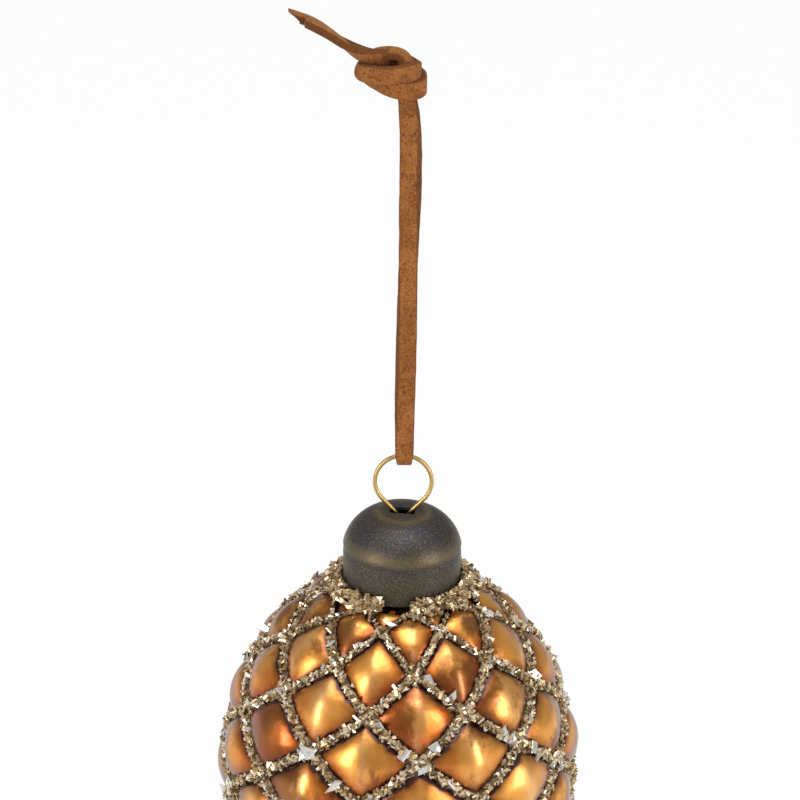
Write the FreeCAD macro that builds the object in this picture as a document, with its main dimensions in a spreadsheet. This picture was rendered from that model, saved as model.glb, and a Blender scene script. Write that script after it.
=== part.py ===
import FreeCAD, Part
import math
import os
from bisect import bisect_left

import Sketcher
from FreeCAD import Placement, Rotation, Vector

# Pine cone ornament of blown glass, hung from a suede lace.
# Millimetres. The origin is the inside top of the lace loop, under its knot, and +Z is up.

os.makedirs("parts", exist_ok=True)
doc = FreeCAD.newDocument("pine_cone_ornament")

# Sizes
SIZES = [
    ("lace_drop", 80.5, "loop's inside top down to the cap's top face"),
    ("cap_radius", 11.0, "cap at its crease"),
    ("cap_top_radius", 4.5, "flat top of the cap"),
    ("cap_shoulder", 6.5, "height of the rounded shoulder"),
    ("cap_skirt", 8.1, "height of the straight skirt"),
    ("cap_wall", 0.5, "thickness of the spun metal"),
    ("shoulder_radius", 8.6, "radius of the shoulder's arc"),
    ("shoulder_steps", 2, "facets along the shoulder's arc"),
    ("slot_length", 4.6, "slot in the cap's top"),
    ("slot_width", 2.6, "slot across"),
    ("slot_turn", -8.0, "degrees that the slot is turned from the ring's plane"),
    ("cap_seat", 0.25, "cap's rim over the glass shoulder"),
    ("lip_gap", 0.6, "cap's inside over the neck's lip"),
    ("neck_radius", 8.8, "outside of the glass neck"),
    ("glass_wall", 0.9, "thickness of the blown glass"),
    ("cone_radius", 31.5, "groove bottoms at the widest place"),
    ("belly_drop", 37.0, "shoulder down to the widest place"),
    ("point_drop", 47.0, "widest place down to the tip"),
    ("shoulder_power", 1.38, "how far the shoulder draws in"),
    ("point_power", 1.2, "how pointed the lower end is"),
    ("collar_gap", 0.6, "cap's crease to where the lobes start"),
    ("first_row_drop", 3.0, "shoulder down to the first full row of crossings"),
    ("tip_radius", 2.4, "plain disc at the tip"),
    ("lobes_round", 9, "lobes in each row"),
    ("lobe_rows", 12, "rows of crossings from the first full row to the tip"),
    ("lobe_rise", 2.4, "height of a large lobe over its grooves"),
    ("lattice_turn", 7.2, "degrees from the front to the first crossing of the even rows"),
    ("band_share", 0.18, "glitter band's half width, in sides of a lobe"),
    ("crust_rise", 2.1, "height of the glitter over the groove bottom, midway between crossings"),
    ("crossing_rise", 2.45, "height of the glitter where two bands cross"),
    ("collar_rise", 1.2, "height of the glitter's edge beside the cap's rim"),
    ("wire_radius", 0.4, "hanger wire"),
    ("ring_radius", 5.25, "middle line of the wire ring"),
    ("ring_rise", 6.0, "cap's top face up to the ring's centre"),
    ("leg_gap", 1.15, "each leg from the middle, where it enters the slot"),
    ("leg_entry", 0.45, "depth of that place under the cap's top face"),
    ("leg_length", 11.0, "legs below the slot"),
    ("leg_bend", 0.8, "bend of the wire at the slot"),
    ("leg_clearance", 0.25, "leg's end to the inside of the neck"),
    ("lace_width", 3.3, "suede lace"),
    ("lace_thickness", 1.5, "suede lace"),
    ("lace_clearance", 0.05, "lace to the wire, and strand to strand"),
    ("knot_width", 11.6, "knot from side to side"),
    ("knot_depth", 6.4, "knot from front to back"),
    ("knot_height", 10.8, "knot"),
    ("knot_shift", 4.2, "knot's middle to the left of the lace, where it leans furthest"),
]
sheet = doc.addObject("Spreadsheet::Sheet", "Sizes")
for row, (alias, value, meaning) in enumerate(SIZES, start=1):
    sheet.set(f"A{row}", alias.replace("_", " "))
    sheet.set(f"B{row}", str(value))
    sheet.setAlias(f"B{row}", alias)
    sheet.set(f"C{row}", meaning)
doc.recompute()


def size(alias):
    return float(sheet.get(alias))


def shoulder_centre():
    """Centre of the cap's shoulder arc, in (radius, height) over the cap's top."""
    inner = Vector(size("cap_top_radius"), 0)
    outer = Vector(size("cap_radius"), -size("cap_shoulder"))
    chord = outer - inner
    across = Vector(-chord.y, chord.x).normalize()
    back = math.sqrt(size("shoulder_radius") ** 2 - (chord.Length / 2) ** 2)
    return (inner + outer) / 2 - across * back


def inside_height(radius):
    """Height of the cap's inside at this radius, under its shoulder."""
    centre, arc = shoulder_centre(), size("shoulder_radius") - size("cap_wall")
    return centre.y + math.sqrt(arc**2 - (radius - centre.x) ** 2)


# Levels, measured from the origin
CAP_TOP = -size("lace_drop")
CAP_RIM = CAP_TOP - size("cap_shoulder") - size("cap_skirt")
SHOULDER = CAP_RIM - size("cap_seat")
LIP = CAP_TOP + inside_height(size("neck_radius")) - size("lip_gap")


def at_angle(radius, degrees, z):
    """A point at this angle, counted from the front (-Y) towards +X."""
    a = math.radians(degrees)
    return Vector(radius * math.sin(a), -radius * math.cos(a), z)


# Glass cone: its groove bottoms lie on one turned surface, and each lobe is a pillow between four
# crossings of the grooves.


def profile(turn):
    """(radius, drop) of the turned surface: turn 0 is the neck, 1 the widest place, 2 the tip."""
    if turn <= 1:
        a = turn * math.pi / 2
        swelling = math.sin(max(a, 0.0)) ** size("shoulder_power")
        radius = size("neck_radius") + (size("cone_radius") - size("neck_radius")) * swelling
        return radius, size("belly_drop") * (1 - math.cos(a))
    a = (turn - 1) * math.pi / 2
    radius = size("cone_radius") * max(math.cos(a), 0.0) ** size("point_power")
    return radius, size("belly_drop") + size("point_drop") * math.sin(a)


STEPS = 800
TURNS = [2 * i / STEPS for i in range(STEPS + 1)]
OUTLINE = [profile(turn) for turn in TURNS]


def turn_where(test):
    """The first turn whose (radius, drop) passes the test, found between two steps."""
    i = next(i for i, point in enumerate(OUTLINE) if test(*point))
    low, high = TURNS[i - 1], TURNS[i]
    for _ in range(30):
        middle = (low + high) / 2
        low, high = (low, middle) if test(*profile(middle)) else (middle, high)
    return high


def row_turns():
    """The turn of each row of crossings: the collar under the cap, then rows down to the tip."""
    start = size("cap_radius") + size("collar_gap")
    collar = turn_where(lambda radius, drop: radius >= start)
    first = turn_where(lambda radius, drop: drop >= size("first_row_drop"))
    tip = turn_where(lambda radius, drop: drop > size("belly_drop") and radius <= size("tip_radius"))
    rows = int(size("lobe_rows"))
    # Length along the outline, in which the rows are evenly spaced
    samples = [first + (tip - first) * i / STEPS for i in range(STEPS + 1)]
    reached = [0.0]
    for low, high in zip(samples, samples[1:]):
        (r0, d0), (r1, d1) = profile(low), profile(high)
        reached.append(reached[-1] + math.hypot(r1 - r0, d1 - d0))
    turns = [collar]
    for k in range(rows + 1):
        i = min(bisect_left(reached, reached[-1] * k / rows), STEPS)
        turns.append(samples[i])
    return turns


ROW_TURNS = row_turns()
LAST_ROW = len(ROW_TURNS) - 1
LOBES = int(size("lobes_round"))
HALF_STEP = 180 / LOBES


def turn_at(row):
    """The turn at a row number, which may lie between two rows."""
    low = min(int(row), LAST_ROW - 1)
    return ROW_TURNS[low] + (ROW_TURNS[low + 1] - ROW_TURNS[low]) * (row - low)


def on_cone(turn, degrees, lift):
    """A point over the turned surface by lift, along its outward normal."""
    step = 1e-4
    (r0, d0), (r1, d1) = profile(turn - step), profile(turn + step)
    length = math.hypot(r1 - r0, d1 - d0)
    radius, drop = profile(turn)
    return at_angle(
        radius + lift * (d1 - d0) / length, degrees, SHOULDER - drop + lift * (r1 - r0) / length
    )


def crossing_angle(row, column):
    """Crossings of every other row stand half a step round."""
    return size("lattice_turn") + (2 * column + (1 if row % 2 else 0)) * HALF_STEP


def cell_side(row):
    """The length of a lobe's side, at the row of its centre."""
    low, high = on_cone(turn_at(row - 1), 0, 0), on_cone(turn_at(row), HALF_STEP, 0)
    return (high - low).Length


LARGEST_SIDE = max(cell_side(row) for row in range(1, LAST_ROW))


def lobe_lift(row, s, t):
    """Height of the lobe over the grooves; s and t run from 0 to 1 across its two pairs of sides."""
    crown = (16 * s * (1 - s) * t * (1 - t)) ** 0.7
    return size("lobe_rise") * cell_side(row) / LARGEST_SIDE * crown


def cell_point(row, column, s, t, lift):
    """A point of the lobe whose left and right corners are in this row."""
    degrees = crossing_angle(row + 1, column) + (s - t) * HALF_STEP
    return on_cone(turn_at(row - 1 + s + t), degrees, lift)


def around_lobe(inset):
    """Corners and side middles, in turn round the lobe, this far in from its grooves."""
    low, high = inset, 1 - inset
    corners = [(low, low), (high, low), (high, high), (low, high)]
    middles = [(0.5, low), (high, 0.5), (0.5, high), (low, 0.5)]
    return [place for pair in zip(corners, middles) for place in pair]


def glass_points(row, column, lift=0.0):
    """The lobe's named points: corners and side middles in its grooves, the band's edge, and its crown."""
    w = size("band_share")
    places = {"groove": around_lobe(0.0), "edge": around_lobe(w), "crown": [(0.5, 0.5)]}
    return {
        name: [cell_point(row, column, s, t, lobe_lift(row, s, t) + lift) for s, t in spots]
        for name, spots in places.items()
    }


def strip(outer, inner):
    """Triangles between two closed loops with as many points each."""
    count = len(outer)
    made = []
    for i in range(count):
        j = (i + 1) % count
        made += [(outer[i], outer[j], inner[j]), (outer[i], inner[j], inner[i])]
    return made


def fan(loop, middle):
    return [(loop[i], loop[(i + 1) % len(loop)], middle) for i in range(len(loop))]


def ring_points(row, lift, steps):
    """A level circle of points at this row, steps to each lobe, starting at its first crossing."""
    count = LOBES * steps
    start = crossing_angle(row, 0)
    return [on_cone(ROW_TURNS[row], start + 360 * i / count, lift) for i in range(count)]


def flipped(triangles):
    return [(a, c, b) for a, b, c in triangles]


def gable(row, column, ring, steps, lift, inward, plain=False, peak_lift=None):
    """Triangles between the end ring and the two grooves that meet at the next row's crossing."""
    first = column * steps
    arc = [ring[(first + i) % len(ring)] for i in range(steps + 1)]
    start = crossing_angle(row, column)
    peak = on_cone(turn_at(row + inward), start + HALF_STEP, lift if peak_lift is None else peak_lift)
    if plain:
        made = [(arc[i], peak, arc[i + 1]) for i in range(steps)]
    else:
        left = on_cone(turn_at(row + inward / 2), start + HALF_STEP / 2, lift)
        right = on_cone(turn_at(row + inward / 2), start + HALF_STEP * 1.5, lift)
        half = steps // 2
        made = [(arc[i], left, arc[i + 1]) for i in range(half)]
        made += [(arc[i], right, arc[i + 1]) for i in range(half, steps)]
        made += [(left, peak, arc[half]), (peak, right, arc[half])]
    return made if inward < 0 else flipped(made)


def closed_solid(triangles):
    """One solid from flat triangles that share their corners."""
    index, points, facets = {}, [], []
    for triangle in triangles:
        facet = []
        for p in triangle:
            key = (round(p.x, 5), round(p.y, 5), round(p.z, 5))
            if key not in index:
                index[key] = len(points)
                points.append(p)
            facet.append(index[key])
        if len(set(facet)) == 3:
            facets.append(tuple(facet))
    shell = Part.Shape()
    shell.makeShapeFromMesh((points, facets), 1e-4)
    solid = Part.Solid(Part.Shell(shell.Faces))
    if solid.Volume < 0:
        solid.reverse()
    return solid


COLLAR_STEPS = 2
TIP_STEPS = 2


def end_rings(lift):
    return ring_points(0, lift, COLLAR_STEPS), ring_points(LAST_ROW, lift, TIP_STEPS)


def tip_point(lift):
    drop = size("belly_drop") + size("point_drop")
    return Vector(0, 0, SHOULDER - drop - lift)


def end_triangles(lift, plain=False):
    """The parts of the cone between the end rings and the first and last grooves."""
    collar, tip = end_rings(lift)
    made = []
    for column in range(LOBES):
        made += gable(0, column, collar, COLLAR_STEPS, lift, 1, plain)
        made += gable(LAST_ROW, column, tip, TIP_STEPS, lift, -1, plain)
    return made


def cells():
    return [(row, column) for row in range(1, LAST_ROW) for column in range(LOBES)]


def neck_rings(inset):
    """Rings of the neck from its base to its lip, inset from the outside."""
    count = LOBES * COLLAR_STEPS
    radius = size("neck_radius") - inset
    start = crossing_angle(0, 0)
    levels = (SHOULDER - inset, LIP)
    return [[at_angle(radius, start + 360 * i / count, z) for i in range(count)] for z in levels]


def glass_cone_shape():
    wall = size("glass_wall")
    outside = end_triangles(0)
    inside = end_triangles(-wall, plain=True)
    for row, column in cells():
        points = glass_points(row, column)
        outside += strip(points["groove"], points["edge"]) + fan(points["edge"], points["crown"][0])
        lining = glass_points(row, column, -wall)
        inside += fan(lining["groove"][::2], lining["crown"][0])
    collar, tip = end_rings(0)
    lined_collar, lined_tip = end_rings(-wall)
    base, lip = neck_rings(0)
    lined_base, lined_lip = neck_rings(wall)
    outside += strip(lip, base) + strip(base, collar) + fan(tip, tip_point(0))
    inside += strip(lined_lip, lined_base) + strip(lined_base, lined_collar)
    inside += fan(lined_tip, tip_point(-wall))
    return closed_solid(outside + flipped(inside) + strip(lined_lip, lip))


def crust_lift(row, s, t):
    """The glitter is heaped where two bands cross, and thinner where it ends beside the cap."""
    if row == 1 and s == t == 0:
        return size("collar_rise")
    return size("crossing_rise" if 0.5 not in (s, t) else "crust_rise")


def glitter_lattice_shape():
    """A net of glued glitter: it lies in the grooves, on the glass, and stands over them."""
    rise, heap = size("crust_rise"), size("crossing_rise")
    corners = [(0, 0), (0.5, 0), (1, 0), (1, 0.5), (1, 1), (0.5, 1), (0, 1), (0, 0.5)]
    under, over = [], []
    for row, column in cells():
        points = glass_points(row, column)
        raised = [cell_point(row, column, s, t, crust_lift(row, s, t)) for s, t in corners]
        under += strip(points["groove"], points["edge"])
        over += strip(raised, points["edge"])
    collar, tip = end_rings(0)
    raised_collar, raised_tip = end_rings(size("collar_rise"))[0], end_rings(heap)[1]
    for column in range(LOBES):
        under += gable(0, column, collar, COLLAR_STEPS, 0, 1)
        over += gable(0, column, raised_collar, COLLAR_STEPS, rise, 1, peak_lift=heap)
        under += gable(LAST_ROW, column, tip, TIP_STEPS, 0, -1)
        over += gable(LAST_ROW, column, raised_tip, TIP_STEPS, rise, -1, peak_lift=heap)
    under += fan(tip, tip_point(0))
    over += fan(raised_tip, tip_point(heap)) + strip(collar, raised_collar)
    return closed_solid(over + flipped(under))


def add_shape(name, shape):
    """A sub-part whose shape is worked out here, under its own name."""
    made = doc.addObject("Part::Feature", name)
    made.Label = name
    made.Shape = shape
    return made


add_shape("glass_cone", glass_cone_shape())
add_shape("glitter_lattice", glitter_lattice_shape())


# Cap: one spun piece with a flat top, a rounded shoulder, a straight skirt and a slot


def constrain(sketch, kind, *references, value=None, bound=None):
    """Adds one constraint, and ties its value to the sheet where an expression is given."""
    values = [] if value is None else [value]
    number = sketch.addConstraint(Sketcher.Constraint(kind, *references, *values))
    if bound:
        sketch.setExpression(f"Constraints[{number}]", bound)
    return number


def plane(body, role):
    return next(f for f in body.Origin.OriginFeatures if f.Role == role)


def new_sketch(body, name, role):
    sketch = body.newObject("Sketcher::SketchObject", name)
    sketch.AttachmentSupport = [(plane(body, role), "")]
    sketch.MapMode = "FlatFace"
    return sketch


def line(ax, ay, bx, by):
    return Part.LineSegment(Vector(ax, ay), Vector(bx, by))


def shoulder_arc(centre, radius, low, high):
    """The arc from its low end to its high end, each a point of the section."""
    start, end = (math.atan2(p.y - centre.y, p.x - centre.x) for p in (low, high))
    return Part.ArcOfCircle(Part.Circle(centre, Vector(0, 0, 1), radius), start, end)


def along_arc(centre, radius, start, end, count):
    """Points from start to end on an arc, in count equal steps."""
    low, high = (math.atan2(p.y - centre.y, p.x - centre.x) for p in (start, end))
    turns = [low + (high - low) * i / count for i in range(count + 1)]
    return [centre + Vector(math.cos(a), math.sin(a)) * radius for a in turns]


cap = doc.addObject("PartDesign::Body", "cap")
cap.Label = "cap"
section = new_sketch(cap, "cap_section", "XZ_Plane")
wall, top, crease = size("cap_wall"), size("cap_top_radius"), size("cap_radius")
drop, depth = size("cap_shoulder"), size("cap_shoulder") + size("cap_skirt")
centre, arc_radius, steps = shoulder_centre(), size("shoulder_radius"), int(size("shoulder_steps"))
inner_radius = arc_radius - wall
inner_high = Vector(centre.x + math.sqrt(inner_radius**2 - (centre.y + wall) ** 2), -wall)
inner_low = Vector(crease - wall, inside_height(crease - wall))
shoulder = along_arc(centre, arc_radius, Vector(top, 0), Vector(crease, -drop), steps)
lining = along_arc(centre, inner_radius, inner_low, inner_high, steps)
outline = [Vector(0, 0)] + shoulder + [Vector(crease, -depth), Vector(crease - wall, -depth)]
outline += lining + [Vector(0, -wall)]
# Numbers of the outline's lines: each starts at the corner of the same number
TOP, CREASE = 0, steps + 1
RIM, INSIDE = CREASE + 1, CREASE + 2
INNER_LOW, INNER_HIGH = INSIDE + 1, INSIDE + 1 + steps
AXIS = len(outline) - 1
START, END, MIDDLE = range(1, 4)
ORIGIN = (-1, START)
for number, corner in enumerate(outline):
    following = outline[(number + 1) % len(outline)]
    section.addGeometry(Part.LineSegment(corner, following), False)
for number in range(len(outline)):
    constrain(section, "Coincident", number, END, (number + 1) % len(outline), START)
constrain(section, "Coincident", TOP, START, *ORIGIN)
for flat in (TOP, RIM, INNER_HIGH):
    constrain(section, "Horizontal", flat)
for upright_line in (CREASE, INSIDE, AXIS):
    constrain(section, "Vertical", upright_line)
# The two arcs that the shoulder's facets follow, outside and inside
guides = []
for radius, start, end, bound in (
    (arc_radius, CREASE, TOP + 1, "Sizes.shoulder_radius"),
    (inner_radius, INNER_LOW, INNER_HIGH, "Sizes.shoulder_radius - Sizes.cap_wall"),
):
    a, b = (math.atan2(p.y - centre.y, p.x - centre.x) for p in (outline[start], outline[end]))
    guide = section.addGeometry(Part.ArcOfCircle(Part.Circle(centre, Vector(0, 0, 1), radius), a, b), True)
    constrain(section, "Coincident", guide, START, start, START)
    constrain(section, "Coincident", guide, END, end, START)
    constrain(section, "Radius", guide, value=radius, bound=bound)
    low, high = sorted((start, end))
    for number in range(low + 1, high):
        constrain(section, "PointOnObject", number, START, guide)
        constrain(section, "Equal", number - 1, number)
    guides.append(guide)
constrain(section, "Coincident", guides[0], MIDDLE, guides[1], MIDDLE)
for reach, number, bound in (
    (top, TOP + 1, "Sizes.cap_top_radius"),
    (crease, CREASE, "Sizes.cap_radius"),
    (inner_low.x, INNER_LOW, "Sizes.cap_radius - Sizes.cap_wall"),
):
    constrain(section, "DistanceX", *ORIGIN, number, START, value=reach, bound=bound)
for reach, number, bound in (
    (drop, CREASE, "Sizes.cap_shoulder"),
    (depth, RIM, "Sizes.cap_shoulder + Sizes.cap_skirt"),
    (wall, AXIS, "Sizes.cap_wall"),
):
    constrain(section, "DistanceY", number, START, *ORIGIN, value=reach, bound=bound)
spun = cap.newObject("PartDesign::Revolution", "spun_shell")
spun.Profile = section
spun.ReferenceAxis = (section, ["V_Axis"])
spun.Angle = 360
cap.Tip = spun
doc.recompute()
if not section.FullyConstrained:
    raise ValueError("the cap's section isn't fully constrained")

opening = new_sketch(cap, "slot_outline", "XY_Plane")
half_length, half_width = size("slot_length") / 2, size("slot_width") / 2
corners = [
    Vector(x * half_length, y * half_width) for x, y in ((-1, -1), (1, -1), (1, 1), (-1, 1))
]
for i, corner in enumerate(corners):
    opening.addGeometry(Part.LineSegment(corner, corners[(i + 1) % 4]), False)
for i in range(4):
    constrain(opening, "Coincident", i, END, (i + 1) % 4, START)
    constrain(opening, "Vertical" if i % 2 else "Horizontal", i)
constrain(opening, "Symmetric", 0, START, 2, START, *ORIGIN)
constrain(opening, "DistanceX", 0, START, 0, END, value=2 * half_length, bound="Sizes.slot_length")
constrain(opening, "DistanceY", 1, START, 1, END, value=2 * half_width, bound="Sizes.slot_width")
opening.setExpression("AttachmentOffset.Rotation.Angle", "Sizes.slot_turn")
slot = cap.newObject("PartDesign::Pocket", "slot")
slot.Profile = opening
slot.Type = "Length"
slot.setExpression("Length", "2 * Sizes.cap_wall")
cap.Tip = slot
before = spun.Shape.Volume
doc.recompute()
if not slot.Shape.Volume < before - 0.9 * wall * size("slot_length") * size("slot_width"):
    raise ValueError("the slot doesn't cut through the cap")
cap.Placement = Placement(Vector(0, 0, CAP_TOP), Rotation())


# Hanger wire: a ring whose two legs come together at the slot, bend there, and spring apart in the neck


def tangent_point(centre, radius, outside, side):
    """Where a line from a point outside touches the circle; side is 1 or -1."""
    to = outside - centre
    a = math.atan2(to.y, to.x) + side * math.acos(radius / to.Length)
    return centre + Vector(math.cos(a), math.sin(a)) * radius


def bend(corner, before, after, radius):
    """Start, middle and end of the arc that rounds a corner of a flat path."""
    a, b = (before - corner).normalize(), (after - corner).normalize()
    half = a.getAngle(b) / 2
    reach = radius / math.tan(half)
    inward = (a + b).normalize()
    return (
        corner + a * reach,
        corner + inward * (radius / math.sin(half) - radius),
        corner + b * reach,
    )


def upright(p, y=0.0):
    """A point of the ring's plane, (across, height over the cap's top), in the part's frame."""
    return Vector(p.x, y, CAP_TOP + p.y)


def swept(edges, outline):
    """One solid along a path of lines and arcs."""
    return Part.Wire(edges).makePipeShell([outline], True, False)


WIRE_FLATS = 6


def hanger_wire_shape():
    centre = Vector(0, size("ring_rise"))
    entry = Vector(-size("leg_gap"), -size("leg_entry"))
    bore = size("neck_radius") - size("glass_wall")
    flats = math.cos(math.pi / (LOBES * COLLAR_STEPS))
    spread = bore * flats - size("leg_clearance") - size("wire_radius")
    foot = Vector(-spread, entry.y - size("leg_length"))
    touch = tangent_point(centre, size("ring_radius"), entry, -1)
    into, through, out = bend(entry, touch, foot, size("leg_bend"))
    top = centre + Vector(0, size("ring_radius"))
    left = [upright(p) for p in (foot, out, through, into, touch)]
    right = [Vector(-p.x, p.y, p.z) for p in left]
    path = [
        Part.LineSegment(left[0], left[1]).toShape(),
        Part.Arc(left[1], left[2], left[3]).toShape(),
        Part.LineSegment(left[3], left[4]).toShape(),
        Part.Arc(left[4], upright(top), right[4]).toShape(),
        Part.LineSegment(right[4], right[3]).toShape(),
        Part.Arc(right[3], right[2], right[1]).toShape(),
        Part.LineSegment(right[1], right[0]).toShape(),
    ]
    along, radius = left[1] - left[0], size("wire_radius")
    turns = [Rotation(along, 360 * (i + 0.5) / WIRE_FLATS) for i in range(WIRE_FLATS + 1)]
    return swept(path, Part.makePolygon([left[0] + turn * Vector(0, radius, 0) for turn in turns]))


add_shape("hanger_wire", hanger_wire_shape())


# Suede lace: doubled through the ring, knotted over it, with two tails


def flat_section(at, along, across):
    """The lace's section at a point: its width lies across, square to the way it runs."""
    width = across.normalize() * (size("lace_width") / 2)
    thick = along.cross(across).normalize() * (size("lace_thickness") / 2)
    corners = ((1, 1), (-1, 1), (-1, -1), (1, -1), (1, 1))
    return Part.makePolygon([at + width * a + thick * b for a, b in corners])


def lace_path(points):
    """Straight runs joined by arcs, each as large as its two runs allow."""
    edges, at = [], points[0]
    for before, corner, after in zip(points, points[1:], points[2:]):
        turn = (corner - before).getAngle(after - corner)
        radius = 0.45 * min((corner - before).Length, (after - corner).Length) / math.tan(turn / 2)
        into, through, out = bend(corner, before, after, radius)
        edges += [Part.LineSegment(at, into).toShape(), Part.Arc(into, through, out).toShape()]
        at = out
        print(f"lace bend of radius {radius:.1f} mm")
    return edges + [Part.LineSegment(at, points[-1]).toShape()]


# The tails' routes, chosen by hand: each starts inside the knot
LONG_TAIL = [
    Vector(-4.0, 0.85, 8.4),
    Vector(-10.0, 0.85, 11.6),
    Vector(-15.4, 0.85, 14.6),
    Vector(-21.4, 0.85, 17.6),
]
SHORT_TAIL = [Vector(-4.0, -0.85, 7.6), Vector(-10.0, -0.85, 11.0), Vector(-18.8, -0.85, 15.6)]
# The knot from its bottom to its top, in shares of its height, its width and its lean to the left
KNOT_LEVELS = ((0, 0.52, 0.1), (0.3, 0.88, 0.42), (0.65, 1.0, 1.0), (1.0, 0.58, 0.8))
KNOT_SIDES = 10


def knot_shape():
    """The outer form of the overhand knot, which the lace's pieces run into."""
    rings, middles = [], []
    turns = [2 * math.pi * i / KNOT_SIDES for i in range(KNOT_SIDES)]
    for level, share, lean in KNOT_LEVELS:
        across, through = size("knot_width") * share / 2, size("knot_depth") * share / 2
        middle = Vector(-lean * size("knot_shift"), 0, level * size("knot_height"))
        rings.append([middle + Vector(across * math.cos(a), through * math.sin(a), 0) for a in turns])
        middles.append(middle)
    sides = [triangle for low, high in zip(rings, rings[1:]) for triangle in strip(low, high)]
    return closed_solid(sides + flipped(fan(rings[0], middles[0])) + fan(rings[-1], middles[-1]))


knot = add_shape("lace_knot", knot_shape())


def lace_loop_shape():
    """Both strands of the loop, round the ring's top and up into the knot."""
    hook = Vector(0, size("ring_rise") + size("ring_radius"))
    ring, half_width = size("ring_radius"), size("lace_width") / 2
    # The ring falls away from its top, so that it touches the flat lace at the lace's edges
    fall = ring - math.sqrt(ring**2 - half_width**2)
    turn_radius = size("wire_radius") + fall + size("lace_clearance") + size("lace_thickness") / 2
    apart = (size("lace_thickness") + size("lace_clearance")) / 2
    end = Vector(-apart, size("lace_drop") + size("knot_height") / 3)
    touch = tangent_point(hook, turn_radius, end, 1)
    front = [Vector(0, p.x, CAP_TOP + p.y) for p in (end, touch)]
    back = [Vector(0, -p.y, p.z) for p in front]
    low = Vector(0, 0, CAP_TOP + hook.y - turn_radius)
    path = [
        Part.LineSegment(front[0], front[1]).toShape(),
        Part.Arc(front[1], low, back[1]).toShape(),
        Part.LineSegment(back[1], back[0]).toShape(),
    ]
    return swept(path, flat_section(front[0], front[1] - front[0], Vector(1, 0, 0)))


def tail_shape(points):
    along = points[1] - points[0]
    return swept(lace_path(points), flat_section(points[0], along, along.cross(Vector(0, 1, 0))))


for name, shape in (
    ("lace_loop", lace_loop_shape()),
    ("lace_tail_long", tail_shape(LONG_TAIL)),
    ("lace_tail_short", tail_shape(SHORT_TAIL)),
):
    outside = shape.cut(knot.Shape).Solids
    add_shape(name, max(outside, key=lambda solid: solid.Volume))
doc.recompute()

# Every sub-part is sound before any is written
NODES = (
    "glass_cone",
    "glitter_lattice",
    "cap",
    "hanger_wire",
    "lace_loop",
    "lace_knot",
    "lace_tail_long",
    "lace_tail_short",
)
for item in doc.Objects:
    if {"Invalid", "Error"} & set(item.State):
        raise ValueError(f"{item.Name} failed: {item.State}")
for name in NODES:
    shape = doc.getObjectsByLabel(name)[0].Shape
    if shape.isNull() or not shape.isValid() or not shape.Solids:
        raise ValueError(f"{name} is not a sound solid")
for name in NODES:
    doc.getObjectsByLabel(name)[0].Shape.exportStep(f"parts/{name}.step")
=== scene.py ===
import math

import bmesh
import bpy
import numpy as np
from bpy.props import FloatProperty, FloatVectorProperty, IntProperty, PointerProperty
from mathutils import Matrix, Vector, noise


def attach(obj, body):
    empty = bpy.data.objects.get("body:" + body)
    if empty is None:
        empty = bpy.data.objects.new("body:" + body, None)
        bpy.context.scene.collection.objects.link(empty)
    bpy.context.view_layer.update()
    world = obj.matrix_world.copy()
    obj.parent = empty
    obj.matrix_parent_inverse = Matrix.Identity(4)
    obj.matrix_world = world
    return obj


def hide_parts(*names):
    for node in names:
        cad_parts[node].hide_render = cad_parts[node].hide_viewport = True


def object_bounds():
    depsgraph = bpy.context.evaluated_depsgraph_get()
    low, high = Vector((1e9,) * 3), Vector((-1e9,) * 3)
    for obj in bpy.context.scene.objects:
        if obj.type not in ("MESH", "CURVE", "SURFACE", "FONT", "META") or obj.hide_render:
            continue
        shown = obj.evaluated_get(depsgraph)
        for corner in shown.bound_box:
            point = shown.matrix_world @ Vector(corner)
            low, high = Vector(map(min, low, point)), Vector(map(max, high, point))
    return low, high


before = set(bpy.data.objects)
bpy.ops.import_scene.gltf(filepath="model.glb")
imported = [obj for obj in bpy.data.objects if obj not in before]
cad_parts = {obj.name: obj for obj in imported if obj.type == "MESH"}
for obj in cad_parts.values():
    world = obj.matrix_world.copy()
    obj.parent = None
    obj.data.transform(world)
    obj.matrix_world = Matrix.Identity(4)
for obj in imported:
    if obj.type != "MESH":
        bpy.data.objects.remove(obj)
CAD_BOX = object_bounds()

bl_info = {
    "name": "Pine cone ornament",
    "version": (1, 0, 0),
    "blender": (4, 5, 0),
    "location": "3D view > Sidebar > Ornament",
    "description": "Blown glass pine cone with glitter grooves, a domed cap, a wire ring and a suede lace",
    "category": "Object",
}

MM = 0.001


# Sizes and colours


def length(name, description, millimetres):
    return FloatProperty(
        name=name, description=description, default=millimetres * MM, min=0, max=2, unit="LENGTH"
    )


def colour(name, description, default):
    return FloatVectorProperty(
        name=name, description=description, default=default, subtype="COLOR", size=3, min=0.0, max=1.0
    )


def share(name, description, default):
    return FloatProperty(name=name, description=description, default=default, min=0, max=1, subtype="FACTOR")


def degrees(name, description, default):
    return FloatProperty(
        name=name, description=description, default=math.radians(default), subtype="ANGLE"
    )


def power(name, description, default):
    return FloatProperty(name=name, description=description, default=default, min=0.3, max=3.0)


def whole(name, description, default, low=3):
    return IntProperty(name=name, description=description, default=default, min=low)


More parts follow.
